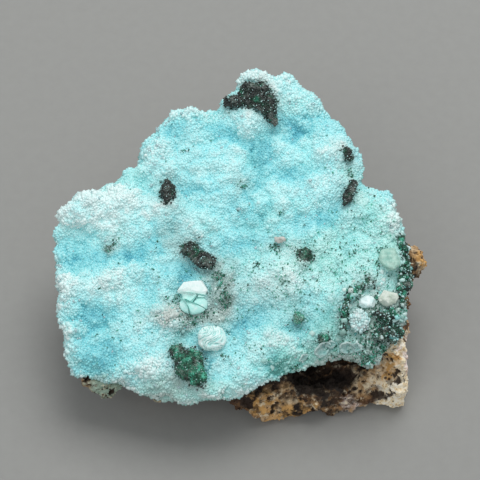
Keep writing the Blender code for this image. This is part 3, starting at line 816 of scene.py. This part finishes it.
# %% Curled shells
# Each row has x and y, the width, height and depth in millimetres, and the turn and lean in degrees.
SHELLS = (
    (18, -27.9, 4.4, 3.2, 0.8, 34, 44), (21.7, -27.4, 3.2, 3, 0.9, -14, 50),
    (24.4, -26.6, 2.2, 1.7, 0.8, -40, 34), (14.2, -29.2, 2.4, 1.2, 0.6, 26, 50),
    (20.2, -25.9, 2.4, 1.3, 0.6, -4, 30))
crust_tree = tree_of(crust)
pieces = []
for number, (x, y, width, height, depth, turn, lean) in enumerate(SHELLS):
    bpy.ops.mesh.primitive_uv_sphere_add(segments=24, ring_count=16, radius=MM)
    shell = bpy.context.object
    edit(bpy.ops.mesh.bisect, plane_co=(0, 0, -0.3 * MM), plane_no=(0.25, 0.1 * number - 0.4, 1),
         clear_outer=True)
    shell.scale = (width / 2, height / 2, depth)
    bpy.ops.object.transform_apply(location=False, rotation=False, scale=True)
    spots = coordinates(shell)
    out = np.hypot(spots[:, 0] / width, spots[:, 1] / height)
    store(shell, rim=np.clip(out / (0.48 * MM), 0, 1) ** 4)
    bumps(shell, "CLOUDS", 1.4, 1.5, noise_depth=1)
    apply(shell, "SOLIDIFY", thickness=0.3 * MM, offset=0)
    foot = crust_tree.find_nearest((x * MM, y * MM, 20 * MM))[0]
    shell.rotation_euler = (math.radians(lean), 0, math.radians(turn))
    shell.location = foot + Vector((0, -0.3, 0.9)) * MM
    bpy.ops.object.transform_apply(location=True, rotation=True, scale=True)
    pieces.append(shell)
shells = join("curled_shells", pieces)
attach(shells, "root")
print("shells:", len(SHELLS), "faces:", len(shells.data.polygons))

# %% [markdown]
# ## The quartz skin
# The skin covers the blue face and its rim. Its crystals are 0.3 to 1.35 mm wide and lean in all
# directions. They are coarse along the upper and left rim and in a few nests. Nearly all are milky,
# with the colour of the crust at their place, and a few are clear. None grows inside the tufts and
# nodules. The milky ones are shared out over three meshes, so that none gets too large.


# %% Grow the quartz skin
def on_blue_side(places, normals):
    """Full on what looks up or outwards, little on the underside."""
    return np.clip((normals @ FACE_NORMAL) * 2.5 + 1, 0.02, 1)


spots, facing = strewn(crust, 90000, 0.418 * MM, 3, on_blue_side)
lumps = tree_of(*growths.values(), *nodules.values())
free = gap_to(lumps, spots + facing * 0.25 * MM, 0.4 * MM) > 0.22 * MM
spots, facing = spots[free], facing[free]

rng = np.random.default_rng(4)
ragged = 1.5 * noise_at(spots, 2)
sideways = np.clip(1.3 - 1.7 * (facing @ FACE_NORMAL), 0, 1)
coarse = np.clip(cover(spots, COARSE, ragged) + 0.8 * sideways, 0, 1)
widths = rng.lognormal(math.log(0.56), 0.25, len(spots)) * (1 + 0.75 * coarse * rng.random(len(spots)))
widths = np.clip(widths * MM, 0.3 * MM, 1.35 * MM)
heights = widths * (rng.uniform(0.5, 0.9, len(spots)) + 0.25 * coarse)
axes = leaning(facing, 0.22 + 0.2 * coarse[:, None], rng)
bases = spots - axes * (heights * (0.46 - 0.16 * coarse))[:, None]
tinted = tints(spots, facing)
tinted["light"] = np.clip(tinted["light"] + 0.05 * rng.normal(size=len(spots)) + 0.14 * coarse, 0, 1)
# The crystals close to the growths get the same grey painted shade.
tinted["grey"] = np.clip(tinted["grey"] + painted_shade_near_growths(spots), 0, 1)
clear = rng.random(len(spots)) < 0.01 + 0.03 * coarse

skins = []
milky = np.flatnonzero(~clear)
for part in range(3):
    rows = milky[part::3]
    numbers = {name: values[rows] for name, values in tinted.items()}
    skins.append(joined(f"quartz_milky_{part + 1}", "chrysocolla", quartz_shape, bases[rows],
                        axes[rows], widths[rows], heights[rows], 10 + part, **numbers))
glassy = joined("quartz_clear", "chrysocolla", quartz_shape, bases[clear], axes[clear], widths[clear],
                heights[clear] * 1.1, 14)

# %% Quartz on one nodule, and dust on the malachite
rng = np.random.default_rng(41)
coats = [(nodules["druse"], 900, 0.44, 0.5)]
for node, body in growths.items():
    faces_each, width = (30, 0.24) if node in BROKEN else (40, 0.16)
    coats.append((body, 6 + len(body.data.polygons) // faces_each, 0.2, width))
rows = []
for number, (piece, count, gap, width) in enumerate(coats):
    spots, facing = strewn(piece, count, gap * MM, 420 + number)
    size = rng.lognormal(0.1, 0.3, len(spots)) * width * MM
    rows.append((spots, facing, size, np.full(len(spots), float(number > 0))))
spots, facing, widths, on_malachite = stacked(rows)
axes = leaning(facing, 0.5, rng)
bases = spots - axes * (widths * 0.3)[:, None] + facing * (on_malachite * 0.25 * MM)[:, None]
numbers = {name: rng.uniform(low, high, len(spots)) + shift * on_malachite
           for name, low, high, shift in (("light", 0.7, 1, -0.25), ("green", 0, 0.3, 0.4),
                                          ("grey", 0, 0.45, 0.35), ("pink", 0, 0.02, 0))}
skins.append(joined("quartz_druse", "nodule", quartz_shape, bases, axes, widths, widths * 1.15, 43,
                    **numbers))

# %% [markdown]
# ## Broken blocks between the growths
# Around the white lumps, the cracked nodule and the front rim, the crust is broken up into angular
# pale and green blocks. They are copies of the block with its corners off, half sunk in the crust and
# in the malachite of the right-hand edge, where the patches below say.

# %% Broken blocks
BROKEN_UP = (
    (27, -18, 4, 4.5, 0.8), (33, -17, 3.5, 2.5, 0.8), (36.5, -12, 1.6, 7, 1.1),
    (36.5, -18.5, 1.8, 2.5, 1.4), (33, -22, 4, 3.5, 0.9), (25, -25.5, 7, 1.6, 1.3),
    (29, -28, 2.5, 3, 2), (14, -29.4, 6, 1.2, 0.6), (-8.5, -18.8, 4.5, 1.2, 0.8),
    (-12.8, -15, 1.4, 3, 0.7), (-4.2, -15, 1.2, 3, 0.7), (-14, -20, 3.5, 2, 0.5),
    (31.5, -7, 1.2, 4, 0.5), (29, -12, 4, 1, 0.7), (-30, -31.5, 8, 1.5, 0.5))


def broken_weight(places, normals):
    """Blocks lie on what looks up or outwards inside those patches."""
    ragged = 1.2 * noise_at(places, 1.5)
    return np.clip(normals @ FACE_NORMAL + 0.5, 0, 1) * cover(places, BROKEN_UP, ragged)


rng = np.random.default_rng(61)
rows = [scatter(crust, 900, 62, broken_weight)]
for number, (node, count) in enumerate(zip(BROKEN, (60, 90, 60))):
    rows.append(scatter(growths[node], count, 63 + number, broken_weight))
spots, facing = stacked(rows)
picked = rng.permutation(len(spots))
picked = picked[spaced(spots[picked], 0.75 * MM)]
spots, facing = spots[picked], facing[picked]
outside = gap_to(tree_of(*nodules.values()), spots, 0.6 * MM) > 0.35 * MM
spots, facing = spots[outside], facing[outside]
widths = np.clip(rng.lognormal(math.log(0.62), 0.4, len(spots)), 0.35, 1.2) * MM
axes = leaning(facing, 0.9, rng)
heights = widths * rng.uniform(0.4, 1.3, len(spots))
numbers = {name: rng.uniform(low, high, len(spots)).clip(0, 1) for name, low, high in (
    ("light", 0, 1), ("green", 0.4, 1), ("grey", -0.4, 0.8), ("pink", -0.6, 0.4))}
bases = spots - facing * (0.22 * widths)[:, None]
skins.append(joined("quartz_blocks", "chrysocolla", block_shape, bases, axes, widths, heights, 66,
                    **numbers))

# %% [markdown]
# ## Grains on the gossan
# The block's skin is gritty with grains of iron oxide and clay, mostly 0.2 to 0.8 mm wide. They are
# copies of one angular grain, and like the block they are brown, tan and ochre.

# %% Grains on the gossan
def in_sight(places, normals):
    """Most grains lie on what faces the front or the right."""
    return 0.15 + np.clip(-normals[:, 1] + normals[:, 0], 0, 1)


rng = np.random.default_rng(51)
spots, facing = strewn(gossan, 8400, 0.45 * MM, 52, in_sight)
axes = leaning(facing, 0.7, rng)
widths = rng.lognormal(math.log(0.38), 0.35, len(spots)) * MM
spots[:, 2] = np.maximum(spots[:, 2], widths * 0.6)
heights = widths * rng.uniform(0.6, 1.1, len(spots))
grit = joined("gossan_grit", "gossan", grain_shape, spots, axes, widths, heights, 53,
              tone=rng.random(len(spots)), **rock_tints(spots, axes))

# %% [markdown]
# ## Materials
# Each mineral gets its own procedural material. Colour and roughness change over the surface. The
# patterns read object coordinates or the numbers kept on the mesh, so they stay in place from every
# side. The tint of the crust and its crystals is one shared group of nodes, because both must agree.


# %% Helpers for materials
def new_material(name, *pieces, **even):
    """The nodes of a new material for some pieces. even has what is the same all over."""
    made = bpy.data.materials.new(name)
    made.use_nodes = True
    for piece in pieces:
        piece.data.materials.clear()
        piece.data.materials.append(made)
    for socket, value in even.items():
        made.node_tree.nodes["Principled BSDF"].inputs[socket.replace("_", " ")].default_value = value
    print("material:", name, "pieces:", len(pieces))
    return made.node_tree


def put(tree, socket, value):
    """Links a value to a socket, or sets it there."""
    if isinstance(value, bpy.types.NodeSocket):
        tree.links.new(value, socket)
    elif isinstance(value, tuple) and len(value) == 3 and socket.type == "RGBA":
        socket.default_value = (*value, 1)
    else:
        socket.default_value = value


def add(tree, kind, inputs=None, **settings):
    """Adds a node, sets its values and fills its inputs."""
    node = tree.nodes.new(kind)
    give(node, settings)
    for socket, value in (inputs or {}).items():
        put(tree, node.inputs[socket], value)
    return node


def ramp(tree, value, stops):
    """Turns a number into a colour through a list of places and colours."""
    node = add(tree, "ShaderNodeValToRGB", {"Fac": value})
    band = node.color_ramp
    while len(band.elements) < len(stops):
        band.elements.new(0.5)
    for element, (place, colour) in zip(band.elements, stops):
        element.position = place
        element.color = (*colour, 1)
    return node.outputs["Color"]


def mixed(tree, share, one, two):
    """A colour between two. A mix node has its colours in inputs 6 and 7 and in output 2."""
    node = add(tree, "ShaderNodeMix", {0: share}, data_type="RGBA")
    put(tree, node.inputs[6], one)
    put(tree, node.inputs[7], two)
    return node.outputs[2]


def between(tree, value, low, high, out_low=0, out_high=1):
    """Maps a number from one range to another."""
    node = add(tree, "ShaderNodeMapRange", {"Value": value, "From Min": low, "From Max": high,
                                            "To Min": out_low, "To Max": out_high})
    return node.outputs["Result"]


def reading(tree, name):
    """A number that is kept on the mesh."""
    return add(tree, "ShaderNodeAttribute", attribute_name=name).outputs["Fac"]


def speckle(tree, scale, detail=4, rough=0.6):
    """Noise in the object's own coordinates, with about scale lumps a metre."""
    where = add(tree, "ShaderNodeTexCoord").outputs["Object"]
    return add(tree, "ShaderNodeTexNoise", {"Vector": where, "Scale": scale, "Detail": detail,
                                            "Roughness": rough}).outputs["Fac"]


def sums(tree, one, two, share=1):
    """One number plus a share of another."""
    return add(tree, "ShaderNodeMath", {0: two, 1: share, 2: one}, operation="MULTIPLY_ADD").outputs[0]


# %% Helpers for what the materials share
def grainy(tree, scale, low, high, detail=4, spread=0.2):
    """A number that changes from low to high in grains of that scale."""
    return between(tree, speckle(tree, scale, detail), 0.5 - spread, 0.5 + spread, low, high)


def covered(tree, colour, value, low, high, top, most=1):
    """A colour under another, which covers nothing where a value is low and most where it is high."""
    return mixed(tree, between(tree, value, low, high, 0, most), colour, top)


def surface(tree, colour, *roughness, **settings):
    """Gives the shader its colour, and a roughness that changes in grains where it has a scale."""
    shader = tree.nodes["Principled BSDF"]
    put(tree, shader.inputs["Base Color"], colour)
    if roughness:
        put(tree, shader.inputs["Roughness"], grainy(tree, *roughness, **settings))


# %% The tint of crust and crystals
tint_group = bpy.data.node_groups.new("crust_tint", "ShaderNodeTree")
for name in ("Light", "Green", "Grey", "Pink"):
    tint_group.interface.new_socket(name, in_out="INPUT", socket_type="NodeSocketFloat")
tint_group.interface.new_socket("Color", in_out="OUTPUT", socket_type="NodeSocketColor")
given = tint_group.nodes.new("NodeGroupInput").outputs
blues = ramp(tint_group, given["Light"], [
    (0, (0.13, 0.52, 0.61)), (0.25, (0.27, 0.74, 0.79)), (0.5, (0.45, 0.89, 0.91)),
    (0.75, (0.59, 0.93, 0.93)), (1, (0.8, 0.98, 0.965))])
greens = ramp(tint_group, given["Light"], [
    (0, (0.13, 0.44, 0.38)), (0.25, (0.28, 0.69, 0.63)), (0.5, (0.48, 0.88, 0.82)),
    (0.75, (0.61, 0.92, 0.87)), (1, (0.8, 0.98, 0.94))])
colour = mixed(tint_group, given["Green"], blues, greens)
colour = covered(tint_group, colour, given["Grey"], 0, 1, (0.3, 0.36, 0.32), 0.72)
colour = covered(tint_group, colour, given["Pink"], 0, 1, (0.84, 0.76, 0.7), 0.28)
tint_group.links.new(colour, tint_group.nodes.new("NodeGroupOutput").inputs["Color"])


def tint(tree, light):
    """The shared tint, with a light number of one's own."""
    node = add(tree, "ShaderNodeGroup", node_tree=tint_group)
    tree.links.new(light, node.inputs["Light"])
    for name in ("Green", "Grey", "Pink"):
        tree.links.new(reading(tree, name.lower()), node.inputs[name])
    return node.outputs["Color"]


# %% Blue crust
tree = new_material("chrysocolla_blue", crust)
light = sums(tree, reading(tree, "light"), grainy(tree, 1500, -0.12, 0.08))
# The hollows are made darker and deeper blue: partly the crust's own deeper blue where the quartz is
# thin, partly painted shade.
light = sums(tree, light, reading(tree, "hollow"), -0.3)
surface(tree, tint(tree, light), 2200, 0.3, 0.6)

# %% Milky and clear quartz
QUARTZ_IOR = 1.544

tree = new_material("quartz_milky", *skins, IOR=QUARTZ_IOR)
light = sums(tree, reading(tree, "light"), grainy(tree, 3000, -0.06, 0.06, 2))
surface(tree, tint(tree, light), 1800, 0.15, 0.5, spread=0.15)

tree = new_material("quartz_clear", glassy, IOR=QUARTZ_IOR, Transmission_Weight=0.5)
colour = ramp(tree, speckle(tree, 700), [(0.35, (0.6, 0.92, 0.95)), (0.65, (0.84, 0.98, 1))])
surface(tree, colour, 1800, 0.03, 0.14, spread=0.15)

# %% Malachite
tree = new_material("malachite_dark", *growths.values(), needles, fringe, specks,
                    Sheen_Weight=0.12, Sheen_Roughness=0.45, Sheen_Tint=(0.75, 0.88, 0.82, 1))
tone = sums(tree, reading(tree, "tone"), grainy(tree, 900, -0.25, 0.25))
colour = ramp(tree, tone, [
    (0, (0.01, 0.016, 0.014)), (0.2, (0.036, 0.046, 0.041)), (0.35, (0.014, 0.03, 0.022)),
    (0.55, (0.016, 0.085, 0.05)), (0.8, (0.025, 0.2, 0.12)), (1, (0.1, 0.5, 0.35))])
veil = sums(tree, between(tree, speckle(tree, 420, 2), 0.42, 0.68), speckle(tree, 2600, 2), 1.2)
colour = covered(tree, colour, veil, 1.05, 1.55, (0.23, 0.27, 0.245), 0.62)
surface(tree, colour, 2500, 0.2, 0.5, spread=0.15)

# %% The ball and the cracked nodule, whose cap is whiter
CAP_EDGE = (-16.05 * MM, -14.55 * MM)

tree = new_material("nodule_round", ball)
colour = ramp(tree, speckle(tree, 420), [(0.3, (0.66, 0.93, 0.9)), (0.7, (0.87, 1, 0.98))])
colour = covered(tree, colour, reading(tree, "slit"), 0, 1, (0.4, 0.76, 0.73), 0.8)
surface(tree, colour, 1500, 0.55, 0.8)

tree = new_material("nodule_cracked", cracked)
place = add(tree, "ShaderNodeTexCoord").outputs["Object"]
back = add(tree, "ShaderNodeSeparateXYZ", {"Vector": place}).outputs["Y"]
colour = covered(tree, (0.47, 0.87, 0.81), back, *CAP_EDGE, (0.88, 1, 0.98))
colour = covered(tree, colour, speckle(tree, 800), 0.5, 0.7, (0.7, 0.93, 0.89))
surface(tree, colour, 1500, 0.45, 0.7)

# %% Lumps
LUMP_COLOURS = {
    "cream": ((0.5, 0.6, 0.5), (0.8, 0.86, 0.78)), "white": ((0.6, 0.84, 0.83), (0.88, 1, 0.99)),
    "druse": ((0.4, 0.5, 0.49), (0.72, 0.8, 0.79)), "plate": ((0.26, 0.52, 0.44), (0.46, 0.7, 0.6)),
    "pebble": ((0.42, 0.44, 0.4), (0.66, 0.64, 0.6))}
for node, (dark, bright) in LUMP_COLOURS.items():
    tree = new_material("nodule_" + node, nodules[node])
    colour = ramp(tree, speckle(tree, 900), [(0.35, dark), (0.62, bright)])
    surface(tree, colour, 1500, 0.45, 0.75)

# %% Curled shells, with paler rims
tree = new_material("shell_pale", shells, Transmission_Weight=0.25)
colour = ramp(tree, speckle(tree, 700), [
    (0.35, (0.2, 0.5, 0.47)), (0.5, (0.42, 0.7, 0.67)), (0.65, (0.66, 0.84, 0.81))])
colour = covered(tree, colour, reading(tree, "rim"), 0.3, 1, (0.72, 0.88, 0.85), 0.5)
surface(tree, colour, 1800, 0.2, 0.5)

# %% Rust of the gossan, and its pale, ochre, pink and green patches
tree = new_material("gossan_rust", gossan, grit)
colour = ramp(tree, speckle(tree, 170, 6, 0.65), [
    (0.34, (0.04, 0.02, 0.012)), (0.43, (0.14, 0.07, 0.03)), (0.5, (0.3, 0.165, 0.07)),
    (0.57, (0.56, 0.37, 0.19)), (0.68, (0.84, 0.7, 0.49))])
mottle = speckle(tree, 1150, 5, 0.7)
cream = ramp(tree, mottle, [
    (0.32, (0.3, 0.17, 0.08)), (0.39, (0.74, 0.5, 0.26)), (0.45, (0.97, 0.82, 0.55)),
    (0.56, (1, 0.94, 0.8))])
rose = ramp(tree, mottle, [
    (0.33, (0.42, 0.27, 0.21)), (0.43, (0.88, 0.68, 0.58)), (0.55, (1, 0.92, 0.87))])
for name, share, shade in (("pale", 0.9, cream), ("ochre", 0.6, (0.66, 0.38, 0.13)),
                           ("pink", 0.9, rose), ("green", 0.6, (0.36, 0.48, 0.38))):
    strength = between(tree, reading(tree, name), 0, 1, 0, share + 0.5)
    strength = sums(tree, strength, speckle(tree, 500), -1)
    colour = covered(tree, colour, strength, 0, 0.4, shade)

# %% Crumbs, pits, black linings and painted shade of the gossan
colour = covered(tree, colour, speckle(tree, 620), 0.55, 0.64, (0.88, 0.77, 0.56), 0.85)
pits = sums(tree, between(tree, speckle(tree, 950), 0.53, 0.64, 0, 0.9), reading(tree, "pale"), -0.5)
# deep darkens the hollows of the block, a painted shade, less on the pale patches.
deep = sums(tree, between(tree, reading(tree, "hollow"), -0.05, 0.45), reading(tree, "pale"), -0.55)
# shelter darkens what the crust and block hide from the sky, a painted shade, and less so on the pink
# patches.
shelter = sums(tree, reading(tree, "shelter"), reading(tree, "pink"), -0.25)
# black is partly black iron oxide and partly painted shadow under the crust's front rim.
black = sums(tree, reading(tree, "black"), grainy(tree, 450, 0.35, -0.45))
for layer in ((pits, 0, 1, (0.08, 0.042, 0.024)),
              (reading(tree, "tone"), 0.6, 1, (0.78, 0.64, 0.46), 0.6),
              (deep, 0, 0.9, (0.035, 0.02, 0.012)),
              (shelter, 0.45, 0.8, (0.045, 0.026, 0.016), 0.92),
              (black, 0.3, 0.8, (0.016, 0.01, 0.007), 0.97)):
    colour = covered(tree, colour, *layer)
surface(tree, colour, 1200, 0.7, 0.95)

# %% Table
tree = new_material("table_grey", table, Roughness=0.8)
colour = ramp(tree, speckle(tree, 400, 8), [(0.3, (0.3, 0.3, 0.285)), (0.7, (0.315, 0.315, 0.3))])
surface(tree, colour)
